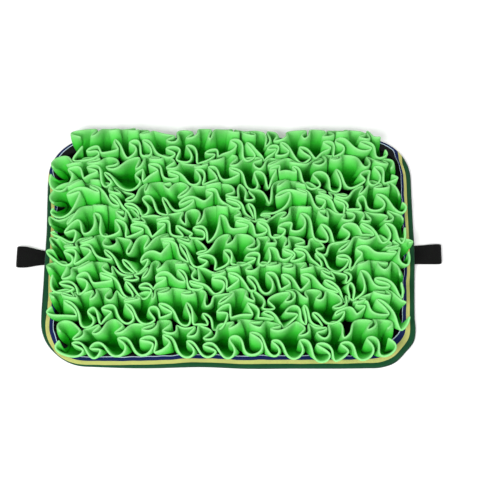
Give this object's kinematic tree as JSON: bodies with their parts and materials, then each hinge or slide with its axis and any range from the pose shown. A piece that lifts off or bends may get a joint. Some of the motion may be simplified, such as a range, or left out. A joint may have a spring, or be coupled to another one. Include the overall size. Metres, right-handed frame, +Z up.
{
  "type": "snuffle mat",
  "caption": "Fleece snuffle mat: rows of gathered green ruffles on a black base cloth with a striped bound edge and a webbing loop at each end.",
  "frame": {"origin": "middle of the flat underside of the base cloth, on the surface that the mat lies on", "axes": "+X along the long side, towards the right loop; +Y from the front edge to the back edge; +Z up, towards the ruffles"},
  "size_m": [0.518, 0.3048, 0.0339],
  "materials": {
    "green_fleece": "soft matte fleece with lighter cut rims",
    "base_cloth": "matte black woven cloth",
    "striped_ribbon": "woven ribbon with green, pale yellow, navy, white and black stripes along it",
    "black_webbing": "matte black webbing"
  },
  "bodies": {
    "root": {"base_panel": "base_cloth", "edge_binding": "striped_ribbon", "loop_left": "black_webbing", "loop_right": "black_webbing", "ruffle_row_1": "green_fleece", "ruffle_row_2": "green_fleece", "ruffle_row_3": "green_fleece", "ruffle_row_4": "green_fleece", "ruffle_row_5": "green_fleece", "ruffle_row_6": "green_fleece", "ruffle_row_7": "green_fleece", "ruffle_row_8": "green_fleece"}
  },
  "joints": []
}
